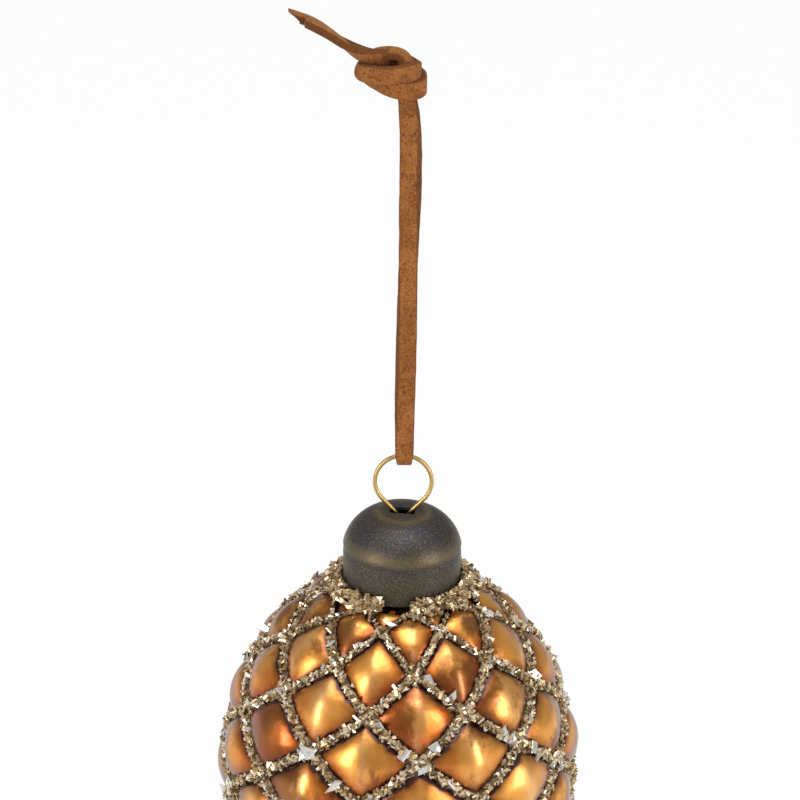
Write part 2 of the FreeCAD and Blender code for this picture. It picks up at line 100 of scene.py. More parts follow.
class GlassSizes(bpy.types.PropertyGroup):
    neck_radius: length("Neck radius", "Outside of the glass neck", 8.8)
    wall: length("Wall", "Thickness of the blown glass", 0.9)
    radius: length("Cone radius", "Groove bottoms at the widest place", 31.5)
    belly_drop: length("Belly drop", "Shoulder down to the widest place", 37.0)
    point_drop: length("Point drop", "Widest place down to the tip", 47.0)
    shoulder_power: power("Shoulder power", "How far the shoulder draws in", 1.38)
    point_power: power("Point power", "How pointed the lower end is", 1.2)
    collar_gap: length("Collar gap", "Cap's crease to where the lobes start", 0.6)
    first_row_drop: length("First row", "Shoulder down to the first row of crossings", 3.0)
    tip_radius: length("Tip radius", "Plain disc at the tip", 2.4)
    lobes: whole("Lobes", "Lobes in each row", 9)
    rows: whole("Rows", "Rows of crossings from the first to the tip", 12)
    lobe_rise: length("Lobe rise", "Height of a large lobe over its grooves", 2.75)
    lattice_turn: degrees("Lattice turn", "From the front to the first crossing of the even rows", 7.2)
    crown_colour: colour("Crown colour", "Gold on the lobes' crowns", (0.78, 0.335, 0.062))
    # Painted highlight: pale cream on the upright ridges, standing in for the softboxes' reflection.
    ridge_highlight_colour: colour("Ridge colour", "Thin pale lacquer on the upright ridges", (0.88, 0.56, 0.25))
    side_colour: colour("Side colour", "Orange amber on the lobes' sides", (0.62, 0.125, 0.006))
    # Brown clouds in the lacquer at random; also the painted shade towards the grooves.
    brown_cloud_and_shade_colour: colour("Brown colour", "Brown clouds in the lacquer", (0.150, 0.038, 0.006))
    # Painted shadow: dark brown along the grooves where the glitter crust shades the glass, together with
    # the glue's own dark smear.
    rim_shade_colour: colour("Rim colour", "Dark brown along the grooves", (0.036, 0.013, 0.013))
    # Painted reflection: lilac grey where the lacquer is seen edge on, for the pale surroundings reflected
    # at grazing angles.
    lilac_reflection_colour: colour("Lilac colour", "Where the lacquer is seen edge on", (0.20, 0.085, 0.060))


class GlitterSizes(bpy.types.PropertyGroup):
    band_share: share("Band share", "Half width of the glitter, in sides of a lobe", 0.071)
    crust_rise: length("Crust rise", "Height of the glue over the groove bottom", 1.5)
    grain: length("Grain", "Size of a usual grain", 1.15)
    grains: whole("Grains", "Number of gold grains", 11500)
    chips: whole("Chips", "Number of pale chips", 4600)
    heaped: whole("Heaped", "Number of grains against the cap's rim", 2300)
    shards: whole("Shards", "Number of large silver shards", 340)
    gold_colour: colour("Gold", "Gold grains", (0.52, 0.375, 0.190))
    shade_colour: colour("Shade", "Glue and deep grains", (0.100, 0.052, 0.021))
    pale_colour: colour("Pale", "Champagne chips", (0.77, 0.65, 0.46))
    silver_colour: colour("Silver", "Large shards", (0.58, 0.57, 0.55))
    bright_colour: colour("Bright", "Brightest of the chips", (0.90, 0.87, 0.80))
    glint_colour: colour("Glint", "Brightest of the shards", (0.86, 0.86, 0.86))


class CapSizes(bpy.types.PropertyGroup):
    drop: length("Drop", "Loop's inside top down to the cap's top face", 80.5)
    radius: length("Radius", "Cap at its crease", 11.0)
    top_radius: length("Top radius", "Flat top of the cap", 4.5)
    shoulder: length("Shoulder", "Height of the rounded shoulder", 6.5)
    shoulder_radius: length("Shoulder radius", "Radius of the shoulder's arc", 8.6)
    skirt: length("Skirt", "Height of the straight skirt", 8.1)
    wall: length("Wall", "Thickness of the spun metal", 0.5)
    slot_length: length("Slot length", "Slot in the cap's top", 4.6)
    slot_width: length("Slot width", "Slot across", 2.6)
    slot_turn: degrees("Slot turn", "Turn from the ring's plane", -8)
    seat: length("Seat", "Cap's rim over the glass shoulder", 0.25)
    lip_gap: length("Lip gap", "Cap's inside over the neck's lip", 0.6)
    wire_radius: length("Wire radius", "Hanger wire", 0.4)
    ring_radius: length("Ring radius", "Middle line of the wire ring", 5.25)
    ring_rise: length("Ring rise", "Cap's top face up to the ring's centre", 6.0)
    metal_colour: colour("Metal", "Dark antique metal", (0.050, 0.043, 0.033))
    rub_colour: colour("Rub", "Brass that shows at the rubbed edges", (0.185, 0.140, 0.064))
    # Purple grey patches at random, also standing in for the dome's sheen: partly painted sheen.
    cloud_and_sheen_colour: colour("Cloud", "Purple grey patches of the metal", (0.050, 0.043, 0.052))
    speck_colour: colour("Speck", "Light grain of the metal", (0.20, 0.175, 0.13))
    pit_colour: colour("Pit", "Dark pits of the metal", (0.018, 0.015, 0.013))
    wire_colour: colour("Wire", "Bright brass wire", (0.62, 0.42, 0.14))


class LaceSizes(bpy.types.PropertyGroup):
    width: length("Width", "Suede lace", 3.3)
    thickness: length("Thickness", "Suede lace", 1.5)
    suede_colour: colour("Suede", "Napped face of the lace", (0.37, 0.140, 0.036))
    shade_colour: colour("Shade", "Deeper tone of the nap", (0.165, 0.052, 0.012))
    sheen_colour: colour("Sheen", "Soft sheen of the nap", (0.9, 0.62, 0.38))
    edge_colour: colour("Edge", "Cut edges of the lace", (0.105, 0.033, 0.009))


class StageSizes(bpy.types.PropertyGroup):
    distance: length("Distance", "Camera to the aim", 1000)
    elevation: degrees("Elevation", "Camera over the level", 24.7)
    lens: FloatProperty(name="Lens", description="Focal length in millimetres", default=245.25, min=10)
    roll: degrees("Roll", "Camera turned about its view", 0.955)
    aim_drop: length("Aim", "Origin down to the camera's aim", 58.0)
    aim_side: length("Aim side", "Camera's aim to the left of the lace", 0.86)
    floor_drop: length("Floor", "Tip of the cone down to the floor", 60.0)
    floor_colour: colour("Floor", "Pale floor", (0.86, 0.86, 0.86))
    floor_white: share("Floor white", "How white the floor is where it is seen", 0.93)
    world_level: share("World level", "Brightness of the plain surroundings", 0.40)


# Shader nodes as expressions


class Signal:
    """A socket of a shader that works in Python's arithmetic."""

    def __init__(self, shader, socket):
        self.shader = shader
        self.socket = socket

    def math(self, operation, *others):
        return self.shader.node("Math", {"operation": operation}, dict(enumerate(others)))

    def __add__(self, other):
        return self.math("ADD", self, other)

    def __sub__(self, other):
        return self.math("SUBTRACT", self, other)

    def __rsub__(self, other):
        return self.math("SUBTRACT", other, self)

    def __mul__(self, other):
        return self.math("MULTIPLY", self, other)

    __radd__ = __add__
    __rmul__ = __mul__

    def clamped(self):
        return self.shader.node("Clamp", {}, {"Value": self})

    def between(self, low, high):
        """0 up to low, 1 from high on, smooth between."""
        settings = {"interpolation_type": "SMOOTHSTEP"}
        inputs = {"Value": self, "From Min": low, "From Max": high}
        return self.shader.node("MapRange", settings, inputs)


class Finish:
    """A new material with one Principled shader, and the nodes that feed it."""

    def __init__(self, name, **constants):
        self.material = bpy.data.materials.new(name)
        self.material.use_nodes = True
        self.tree = self.material.node_tree
        self.shader = self.tree.nodes["Principled BSDF"]
        for socket, value in constants.items():
            self.shader.inputs[socket.replace("_", " ")].default_value = value

    def node(self, kind, settings, inputs, output=0):
        made = self.tree.nodes.new("ShaderNode" + kind)
        for name, value in settings.items():
            if name == "stops":
                self.set_stops(made.color_ramp, value)
            else:
                setattr(made, name, value)
        for name, value in inputs.items():
            if isinstance(value, Signal):
                self.tree.links.new(value.socket, made.inputs[name])
            else:
                made.inputs[name].default_value = value
        return Signal(self, made.outputs[output])

    @staticmethod
    def set_stops(ramp, stops):
        while len(ramp.elements) < len(stops):
            ramp.elements.new(1.0)
        for element, (place, tint) in zip(ramp.elements, stops):
            element.position = place
            element.color = (*tint, 1.0)

    def place(self):
        return self.node("TexCoord", {}, {}, "Object")

    def stretched(self, stretch):
        settings = {"operation": "MULTIPLY"}
        return self.node("VectorMath", settings, {0: self.place(), 1: stretch})

    def noise(self, scale, detail=2.0, place=None, roughness=0.5):
        inputs = {"Vector": place or self.place(), "Scale": scale, "Detail": detail, "Roughness": roughness}
        return self.node("TexNoise", {}, inputs, "Fac")

    def attribute(self, name):
        return self.node("Attribute", {"attribute_name": name}, {}, "Fac")

    def mix(self, first, second, amount, blend="MIX"):
        settings = {"data_type": "RGBA", "blend_type": blend}
        as_colour = [value if isinstance(value, Signal) else (*value, 1.0) for value in (first, second)]
        return self.node("Mix", settings, {0: amount, 6: as_colour[0], 7: as_colour[1]}, 2)

    def bump(self, height, strength, distance):
        inputs = {"Height": height, "Strength": strength, "Distance": distance}
        return self.node("Bump", {}, inputs, "Normal")

    def feed(self, **signals):
        for name, signal in signals.items():
            self.tree.links.new(signal.socket, self.shader.inputs[name.replace("_", " ")])
        return self.material


# Meshes


def new_mesh(name, points, faces):
    mesh = bpy.data.meshes.new(name)
    mesh.from_pydata(np.reshape(points, (-1, 3)).tolist(), [], faces)
    return mesh


def linked(name, data):
    made = bpy.data.objects.new(name, data)
    bpy.context.scene.collection.objects.link(made)
    return made


def placed(name, mesh, material, replaced=(), smooth=True):
    """An object of a rigid piece, with its finish, and the solids that it is drawn in place of."""
    made = linked(name, mesh)
    mesh.materials.append(material)
    mesh.polygons.foreach_set("use_smooth", [smooth] * len(mesh.polygons))
    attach(made, "root")
    if replaced:
        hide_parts(*replaced)
    return made


def set_attribute(mesh, name, values):
    mesh.attributes.new(name, "FLOAT", "POINT").data.foreach_set("value", np.asarray(values, "f"))


def turned_out(mesh, joined=False):
    """Turns all faces outward; joined first joins the points that lie on each other."""
    work = bmesh.new()
    work.from_mesh(mesh)
    if joined:
        bmesh.ops.remove_doubles(work, verts=work.verts, dist=0.01 * MM)
        loose = [v for v in work.verts if not v.link_faces]
        bmesh.ops.delete(work, geom=loose, context="VERTS")
    bmesh.ops.recalc_face_normals(work, faces=work.faces)
    work.to_mesh(mesh)
    work.free()


def applied(made):
    """Makes the object's modifiers part of its mesh."""
    bpy.context.view_layer.update()
    graph = bpy.context.evaluated_depsgraph_get()
    mesh = bpy.data.meshes.new_from_object(made.evaluated_get(graph))
    made.modifiers.clear()
    old, made.data = made.data, mesh
    mesh.name = made.name
    bpy.data.meshes.remove(old)


def ripple(points, scale, seed):
    """Smooth noise from -1 to 1 at each point."""
    shift = Vector((seed, 0, 0))
    return np.array([noise.noise(Vector(p) * scale + shift) for p in points])


def swept_faces(rings, around):
    """Faces between rings of points that follow each other, and a cap on each end."""
    faces = []
    for ring in range(rings - 1):
        for i in range(around):
            j = (i + 1) % around
            a, b = ring * around, (ring + 1) * around
            faces.append((a + i, a + j, b + j, b + i))
    faces.append(tuple(reversed(range(around))))
    faces.append(tuple(range((rings - 1) * around, rings * around)))
    return faces


def unit(rows):
    """Each row as a vector of length 1."""
    return rows / np.linalg.norm(rows, axis=1)[:, None]


# The cone's turned surface and its lobes


def crown_at(s, t):
    """0 on the sides of a lobe, 1 in its middle."""
    return np.clip(16 * s * (1 - s) * t * (1 - t), 0, 1)


def ridge_at(s, t, width):
    """1 on the upright line through a lobe's middle, less beside it."""
    return np.exp(-(((s - t) / width) ** 2))


class Cone:
    """Places on the cone, from a lobe's row and column and the place inside it."""

    SAMPLES = np.linspace(0, 2, 4001)
    PILLOW_SHARE, PILLOW_POWER = 0.92, 0.60
    RIDGE_SHARE, RIDGE_WIDTH = 0.11, 0.21

    def __init__(self, sizes, cap):
        self.sizes = sizes
        self.shoulder = -(cap.drop + cap.shoulder + cap.skirt + cap.seat)
        radius, drop = self.profile(self.SAMPLES)
        below = self.SAMPLES > 1
        collar = self.SAMPLES[np.argmax(radius >= cap.radius + sizes.collar_gap)]
        first = np.argmax(drop >= sizes.first_row_drop)
        tip = np.argmax(below & (radius <= sizes.tip_radius))
        reach = np.concatenate([[0], np.cumsum(np.hypot(np.diff(radius), np.diff(drop)))])
        spaced = np.linspace(reach[first], reach[tip], sizes.rows + 1)
        self.row_turns = np.concatenate([[collar], np.interp(spaced, reach, self.SAMPLES)])
        self.last_row = len(self.row_turns) - 1
        self.half_step = math.pi / sizes.lobes
        sides = [self.side(row) for row in range(1, self.last_row)]
        self.largest_side = max(sides)
        self.sides = np.array([sides[0], *sides, sides[-1]])

    def profile(self, turn):
        sizes = self.sizes
        high, low = np.clip(turn, 0, 1) * math.pi / 2, np.clip(turn - 1, 0, 1) * math.pi / 2
        swelling = np.sin(high) ** sizes.shoulder_power
        upper = sizes.neck_radius + (sizes.radius - sizes.neck_radius) * swelling
        lower = sizes.radius * np.maximum(np.cos(low), 0) ** sizes.point_power
        drop = sizes.belly_drop * (1 - np.cos(high)) + sizes.point_drop * np.sin(low)
        return np.where(turn > 1, lower, upper), drop

    def point(self, turn, angle, lift):
        """A point over the turned surface by lift, at an angle counted from the front to the right."""
        (r0, d0), (r1, d1) = self.profile(turn - 1e-4), self.profile(turn + 1e-4)
        reach = np.hypot(r1 - r0, d1 - d0)
        radius, drop = self.profile(turn)
        out, up = (d1 - d0) / reach, (r1 - r0) / reach
        radius = radius + lift * out
        places = [radius * np.sin(angle), -radius * np.cos(angle), self.shoulder - drop + lift * up]
        return np.stack(np.broadcast_arrays(*places), -1)

    def turn_at(self, row):
        return np.interp(row, np.arange(self.last_row + 1), self.row_turns)

    def crossing_angle(self, row, column):
        return self.sizes.lattice_turn + (2 * column + row % 2) * self.half_step

    def side(self, row):
        high = self.point(self.turn_at(row - 1), 0.0, 0)
        low = self.point(self.turn_at(row), self.half_step, 0)
        return float(np.linalg.norm(high - low))

    def lobe_lift(self, row, s, t):
        """Height of the lobe over its grooves; beyond the collar and the tip there is none."""
        crown = crown_at(s, t)
        reach = row - 1 + s + t
        there = np.clip(np.minimum(reach, self.last_row - reach), 0, 1)
        ridge = self.RIDGE_SHARE * ridge_at(s, t, self.RIDGE_WIDTH) * crown**0.5
        size = self.sizes.lobe_rise * self.sides[row] / self.largest_side
        return size * (self.PILLOW_SHARE * crown**self.PILLOW_POWER + ridge) * there**0.5

    def place(self, row, column, s, t, lift):
        """A point of the lobe whose left and right corners are in this row."""
        angle = self.crossing_angle(row + 1, column) + (s - t) * self.half_step
        return self.point(self.turn_at(row - 1 + s + t), angle, lift)

    def normal(self, row, column, s, t):
        high, low = self.place(row, column, s, t, 1.0), self.place(row, column, s, t, 0.0)
        return high - low


def cone_of(scene):
    return Cone(scene.ornament_glass, scene.ornament_cap)


# Finishes

LOBE_VALUES = ("crown", "inset", "fall", "ridge", "tone")


def amber_glass(sizes, band):
    """Blown glass, silvered inside and lacquered amber: gold crowns, orange sides, painted shade on the
    lobes' lower parts and by the grooves, dark rims partly painted shadow, a painted highlight on the ridges
    and a painted lilac reflection seen edge on.
    """
    finish = Finish("amber_glass", Metallic=0.88, Coat_Weight=0.30, Coat_Roughness=0.13, IOR=1.5)
    crown, inset, fall, ridge, tone = (finish.attribute(name) for name in LOBE_VALUES)
    upright = finish.stretched((1.0, 1.0, 0.55))
    drift = finish.noise(60, 2.0).between(0.36, 0.64)
    cloud = finish.noise(150, 4.0, place=upright, roughness=0.62)
    # Gold crowns and orange sides: partly the lacquer's own tone, partly painted shade of the lobe's curve.
    # The lower part of each lobe (fall) is darker: painted shade, here and in the clouds and the rim's edge
    # below.
    gold = (crown * 0.70 + drift * 0.30 - fall * 0.26 + (cloud - 0.5) * 1.2 + tone * 0.40 - 0.08).clamped()
    stops = ((0.30, sizes.side_colour), (0.85, sizes.crown_colour))
    lacquer = finish.node("ValToRGB", {"stops": stops}, {"Fac": gold})
    # Painted highlight: pale cream streaks down each lobe's upright ridge, broken up by stretched noise.
    ridge_highlight_streak = finish.noise(260, 3.0, place=finish.stretched((1.0, 1.0, 0.25)))
    lacquer = finish.mix(lacquer, sizes.ridge_highlight_colour, ridge * ridge_highlight_streak.between(0.30, 0.62) * 0.60)
    clouds = finish.noise(95, 6.0, place=upright, roughness=0.66) + fall * 0.05 - tone * 0.12
    lacquer = finish.mix(lacquer, sizes.brown_cloud_and_shade_colour, clouds.between(0.43, 0.54) * 0.74)
    # Painted reflection: lilac grey by the facing angle, for the pale surroundings reflected at grazing
    # angles.
    facing = finish.node("LayerWeight", {}, {"Blend": 0.5}, "Facing")
    lacquer = finish.mix(lacquer, sizes.lilac_reflection_colour, facing.between(0.48, 0.80) * 0.85)
    wobble = finish.noise(420, 3.0, roughness=0.6)
    edge = inset + (wobble - 0.5) * 0.13 + fall * 0.05
    # Painted shade: the lobes turn brown towards the glitter bands, where the grooves lie in shade.
    groove_shade = 1 - edge.between(band, band + 0.20)
    # Painted shadow of the crust on the glass at the band's edge, together with the glue's dark smear.
    rim = 1 - edge.between(band + 0.014, band + 0.064)
    lacquer = finish.mix(lacquer, sizes.brown_cloud_and_shade_colour, groove_shade * 0.80)
    return finish.feed(
        Base_Color=finish.mix(lacquer, sizes.rim_shade_colour, rim * 0.95),
        Roughness=0.25 + cloud * 0.14,
        Normal=finish.bump(finish.noise(170, 3.0), 0.30, 0.6 * MM),
    )


def grain_finish(name, first, second, third, roughness, metallic):
    """Crushed glass, each grain with a tone of its own."""
    finish = Finish(name, Metallic=metallic, Roughness=roughness, Coat_Weight=0.6, Coat_Roughness=0.08)
    tone = finish.node("NewGeometry", {}, {}, "Random Per Island")
    stops = ((0.0, third), (0.30, first), (0.62, first), (1.0, second))
    return finish.feed(Base_Color=finish.node("ValToRGB", {"stops": stops}, {"Fac": tone}))


def crust_finish(sizes):
    """Glue and fine glitter under the grains."""
    finish = Finish("glitter_glue", Metallic=0.35, Roughness=0.5)
    speck = finish.noise(1500, 2.0)
    tint = finish.mix(sizes.shade_colour, sizes.gold_colour, speck.between(0.45, 0.7))
    return finish.feed(Base_Color=tint, Normal=finish.bump(speck, 0.9, 0.5 * MM))


def cap_finish(sizes):
    """Antique metal, nearly black, with brass rubbed bright at its top rim and crease."""
    finish = Finish("antique_bronze", Metallic=0.70)
    rub = finish.attribute("rub")
    fine, grain = finish.noise(3600, 2.0), finish.noise(1200, 3.0, roughness=0.7)
    patch = finish.noise(150, 3.0)
    worn = (rub * (0.45 + patch * 1.1) + (fine - 0.5) * 1.6 * rub).clamped()
    # Purple grey patches laid at random, partly a painted sheen of the dome.
    dark = finish.mix(sizes.metal_colour, sizes.cloud_and_sheen_colour, patch.between(0.40, 0.60))
    speckled = finish.mix(dark, sizes.speck_colour, fine.between(0.52, 0.68) * 0.55)
    pitted = finish.mix(speckled, sizes.pit_colour, grain.between(0.56, 0.70) * 0.6)
    return finish.feed(
        Base_Color=finish.mix(pitted, sizes.rub_colour, worn),
        Roughness=0.50 + (patch - 0.5) * 0.25 - worn * 0.04,
        Normal=finish.bump(fine + grain, 0.40, 0.10 * MM),
    )


def wire_finish(sizes):
    finish = Finish("bright_brass", Metallic=1.0)
    tarnish = finish.noise(120, 1.0)
    tint = finish.mix(sizes.wire_colour, [0.80 * c for c in sizes.wire_colour], tarnish)
    return finish.feed(Base_Color=tint, Roughness=0.30 + tarnish * 0.06)


def suede_finish(sizes):
    """Napped suede with darker cut edges and a fine fibre."""
    finish = Finish("tan_suede", Sheen_Weight=0.18, Sheen_Roughness=0.5, Specular_IOR_Level=0.15)
    finish.shader.inputs["Sheen Tint"].default_value = (*sizes.sheen_colour, 1.0)
    across = finish.attribute("across")
    nap, brushed = finish.noise(2500, 5.0, roughness=0.75), finish.noise(330, 3.0)
    tone = (brushed.between(0.38, 0.62) * 0.35 + nap.between(0.42, 0.60) * 0.65).clamped()
    face = finish.mix(sizes.suede_colour, sizes.shade_colour, tone)
    speck = finish.noise(1300, 3.0, roughness=0.7).between(0.57, 0.65)
    face = finish.mix(face, sizes.edge_colour, speck * 0.70)
    edge = across.between(0.80, 0.99)
    return finish.feed(
        Base_Color=finish.mix(face, sizes.edge_colour, edge * 0.85),
        Roughness=0.86 + nap * 0.1,
        Normal=finish.bump(nap + brushed * 0.5, 0.55, 0.35 * MM),
    )


def floor_finish(sizes):
    """Pale floor that reads white from above and keeps a faint shadow."""
    finish = Finish("pale_floor", Roughness=0.9, Specular_IOR_Level=0.1)
    finish.shader.inputs["Base Color"].default_value = (*sizes.floor_colour, 1.0)
    kinds = ("Camera", "Glossy", "Transmission")
    camera, glossy, through = (finish.node("LightPath", {}, {}, f"Is {kind} Ray") for kind in kinds)
    seen = (camera + glossy + through).clamped() * sizes.floor_white
    lit, white = Signal(finish, finish.shader.outputs[0]), finish.node("Emission", {}, {})
    blend = finish.node("MixShader", {}, {0: seen, 1: lit, 2: white})
    finish.tree.links.new(blend.socket, finish.tree.nodes["Material Output"].inputs[0])
    return finish.material


# Pieces

LOBE_STEPS = 14


def lobe_patch(cone, row, column):
    """A grid of points over one lobe; at the ends only the half that is on the cone."""
    along = np.linspace(0, 1, LOBE_STEPS + 1)
    s, t = np.meshgrid(along, along, indexing="ij")
    points = cone.place(row, column, s, t, cone.lobe_lift(row, s, t))
    across = LOBE_STEPS + 1
    first, last, middle = row == 0, row == cone.last_row, LOBE_STEPS - 1
    faces = []
    for i in range(LOBE_STEPS):
        for j in range(LOBE_STEPS):
            a = i * across + j
            b, c, d = a + across, a + across + 1, a + 1
            if (first and i + j < middle) or (last and i + j > middle):
                continue
            if i + j == middle and first:
                faces.append((b, c, d))
            elif i + j == middle and last:
                faces.append((a, b, d))
            else:
                faces.append((a, b, c, d))
    values = {
        "crown": crown_at(s, t),
        "inset": np.minimum(np.minimum(s, 1 - s), np.minimum(t, 1 - t)),
        # fall: from -1 at a lobe's top corner to 1 at its bottom corner; the glass's colour darkens with it
        # as painted shade.
        "fall": s + t - 1,
        # ridge: the upright line through a lobe's middle, which carries the glass's painted highlight.
        "ridge": ridge_at(s, t, 0.15) * crown_at(s, t) ** 0.3,
    }
    return points.reshape(-1, 3), faces, {name: value.ravel() for name, value in values.items()}


def ring_band(cone, row, turns):
    """Level circles of points from turn to turn, with a point at every corner of this row's lobes."""
    around = cone.sizes.lobes * LOBE_STEPS
    start = cone.crossing_angle(row, 0)
    angles = start + np.arange(around) * 2 * math.pi / around
    return np.array([cone.point(np.full(around, turn), angles, 0.0) for turn in turns])


class ORNAMENT_OT_glass(bpy.types.Operator):
    """Build the blown glass cone with its quilted lobes"""

    bl_idname = "ornament.glass"
    bl_label = "Glass cone"

    def execute(self, context):
        scene = context.scene
        sizes, cap = scene.ornament_glass, scene.ornament_cap
        cone = cone_of(scene)
        points, faces = [], []
        values = {name: [] for name in LOBE_VALUES}
        rng = np.random.default_rng(31)

        def add(places, local_faces, local_values):
            base = sum(len(p) for p in points)
            faces.extend(tuple(base + i for i in face) for face in local_faces)
            points.append(places)
            for name, list_of in values.items():
                list_of.append(local_values.get(name, np.zeros(len(places))))

        for row in range(cone.last_row + 1):
            for column in range(sizes.lobes):
                places, patch, shades = lobe_patch(cone, row, column)
                shades["tone"] = np.full(len(places), rng.random())
                add(places, patch, shades)
        # The disc at the tip, and the neck up to its lip
        around = sizes.lobes * LOBE_STEPS
        tip = ring_band(cone, cone.last_row, np.linspace(cone.row_turns[-1], 1.999, 5))
        collar = ring_band(cone, 0, np.linspace(cone.row_turns[0], 0.0, 4))
        low, lip = collar[-1], cap_lip(cap, sizes)
        neck = [low + np.array([0, 0, (lip - low[0, 2]) * k / 3]) for k in (1, 2, 3)]
        for rings, closed in ((np.concatenate([collar, neck]), False), (tip, True)):
            sides = swept_faces(len(rings), around)
            add(rings.reshape(-1, 3), sides[:-2] + (sides[-1:] if closed else []), {})
        mesh = new_mesh("pine_cone_glass", np.concatenate(points), faces)
        for name, list_of in values.items():
            set_attribute(mesh, name, np.concatenate(list_of))
        turned_out(mesh, joined=True)
        finish = amber_glass(sizes, scene.ornament_glitter.band_share)
        made = placed("pine_cone_glass", mesh, finish, ("glass_cone",))
        shell = made.modifiers.new("wall", "SOLIDIFY")
        shell.thickness = sizes.wall
        shell.offset = -1
        applied(made)
        return {"FINISHED"}


def shoulder_centre(cap):
    """Centre of the cap's shoulder arc, in (radius, height) over the cap's top."""
    inner, outer = Vector((cap.top_radius, 0)), Vector((cap.radius, -cap.shoulder))
    chord = outer - inner
    across = Vector((-chord.y, chord.x)).normalized()
    return (inner + outer) / 2 - across * math.sqrt(cap.shoulder_radius**2 - (chord.length / 2) ** 2)


def cap_lip(cap, sizes):
    """Level of the neck's lip, close under the inside of the cap."""
    centre = shoulder_centre(cap)
    reach, side = cap.shoulder_radius - cap.wall, sizes.neck_radius - centre.x
    return -cap.drop + centre.y + math.sqrt(reach**2 - side**2) - cap.lip_gap


CROSSING_EXTRA, CROSSING_REACH = 0.75, 0.15


def widened(along):
    """The bands are wider where they cross: a factor for this place along a lobe's side."""
    return 1 + CROSSING_EXTRA * np.exp(-((np.minimum(along, 1 - along) / CROSSING_REACH) ** 2))


def band_places(cone, rng, count, reach, spill):
    """Random places along the grooves: row, column, and the place inside the lobe."""
    weights = cone.sides[1:-1] ** 1.3
    rows = 1 + rng.choice(cone.last_row - 1, count, p=weights / weights.sum())
    columns = rng.integers(0, cone.sizes.lobes, count)
    along, side = rng.random(count), rng.integers(0, 4, count)
    inset = reach * widened(along) * np.abs(rng.normal(0, 0.5, count)).clip(0, spill)
    near = np.where(side % 2 == 0, inset, 1 - inset)
    s = np.where(side < 2, near, along)
    t = np.where(side < 2, along, near)
    return rows, columns, s, t


def crust_lift(cone, glitter, rows, s, t):
    """Top of the glue over the turned surface, from the groove's middle out to the band's edge."""
    inset = np.minimum(np.minimum(s, 1 - s), np.minimum(t, 1 - t))
    along = np.where(np.minimum(s, 1 - s) < np.minimum(t, 1 - t), t, s)
    q = np.clip(inset / (glitter.band_share * widened(along)), 0, 1)
    ease = q * q * (3 - 2 * q)
    size = cone.sides[rows] / cone.largest_side
    glass = cone.lobe_lift(rows, s, t)
    return (1 - ease) * glitter.crust_rise * (0.55 + 0.45 * size) + ease * (glass - 0.12 * MM)


class ORNAMENT_OT_crust(bpy.types.Operator):
    """Lay the bed of glue and fine glitter in the grooves"""

    bl_idname = "ornament.crust"
    bl_label = "Glitter bed"

    def execute(self, context):
        glitter = context.scene.ornament_glitter
        cone = cone_of(context.scene)
        steps, levels = 12, 6
        edge = np.linspace(0, 1, steps, endpoint=False)
        zero, one = np.zeros(steps), np.ones(steps)
        ring_s = np.concatenate([edge, one, 1 - edge, zero])
        ring_t = np.concatenate([zero, edge, one, 1 - edge])
        around = len(ring_s)
        reach = glitter.band_share * np.tile(widened(edge), 4)
        points, faces = [], []
        for row in range(1, cone.last_row):
            for column in range(cone.sizes.lobes):
                base = len(points)
                for level in range(levels):
                    inset = reach * level / (levels - 1)
                    s = inset + (1 - 2 * inset) * ring_s
                    t = inset + (1 - 2 * inset) * ring_t
                    lift = crust_lift(cone, glitter, np.full(around, row), s, t)
                    points.extend(cone.place(row, column, s, t, lift))
                faces += [tuple(base + i for i in face) for face in swept_faces(levels, around)[:-2]]
        points = np.array(points)
        out = unit(points * np.array([1, 1, 0]))
        points = points + out * (ripple(points, 700, 3.0) * 0.28 * MM)[:, None]
        mesh = new_mesh("glitter_bed", points, faces)
        turned_out(mesh, joined=True)
        placed("glitter_bed", mesh, crust_finish(glitter), ("glitter_lattice",))
        return {"FINISHED"}


def random_turns(rng, count):
    """Rotation matrices, evenly spread over all turns."""
    w, x, y, z = unit(rng.normal(size=(count, 4))).T
    rows = [
        [1 - 2 * (y * y + z * z), 2 * (x * y - z * w), 2 * (x * z + y * w)],
        [2 * (x * y + z * w), 1 - 2 * (x * x + z * z), 2 * (y * z - x * w)],
        [2 * (x * z - y * w), 2 * (y * z + x * w), 1 - 2 * (x * x + y * y)],
    ]
    return np.moveaxis(np.array(rows), -1, 0)


def facing_turns(rng, normals, tilt):
    """Rotation matrices whose third axis is near each normal."""
    out = unit(normals + rng.normal(0, tilt, normals.shape))
    side = unit(np.cross(out, rng.normal(size=normals.shape)))
    return np.stack([side, np.cross(out, side), out], -1)


def chips_mesh(name, rng, corners, places, turns, sizes, thickness=(0.18, 0.45), slimness=(0.55, 1.0)):
    """Many small closed plates: a flat outline with corners points, and a thickness."""
    count = len(places)
    angles = (np.arange(corners) + rng.uniform(-0.28, 0.28, (count, corners))) * 2 * math.pi / corners
    reach = rng.uniform(0.75, 1.25, (count, corners))
    x, y = reach * np.cos(angles), reach * np.sin(angles) * rng.uniform(*slimness, (count, 1))
    thick = rng.uniform(*thickness, (count, 1)) * np.ones((1, corners))
    shrink = rng.uniform(0.7, 1.0, (count, 1))
    top = np.stack([x * shrink, y * shrink, thick], -1)
    bottom = np.stack([x, y, -thick], -1)
    local = np.concatenate([bottom, top], 1) * sizes[:, None, None]
    world = np.einsum("nij,nkj->nki", turns, local) + places[:, None, :]
    each = 2 * corners
    template = [tuple(reversed(range(corners))), tuple(range(corners, each))]
    template += [(i, (i + 1) % corners, corners + (i + 1) % corners, corners + i) for i in range(corners)]
    faces = [tuple(n * each + i for i in face) for n in range(count) for face in template]
    return new_mesh(name, world, faces)


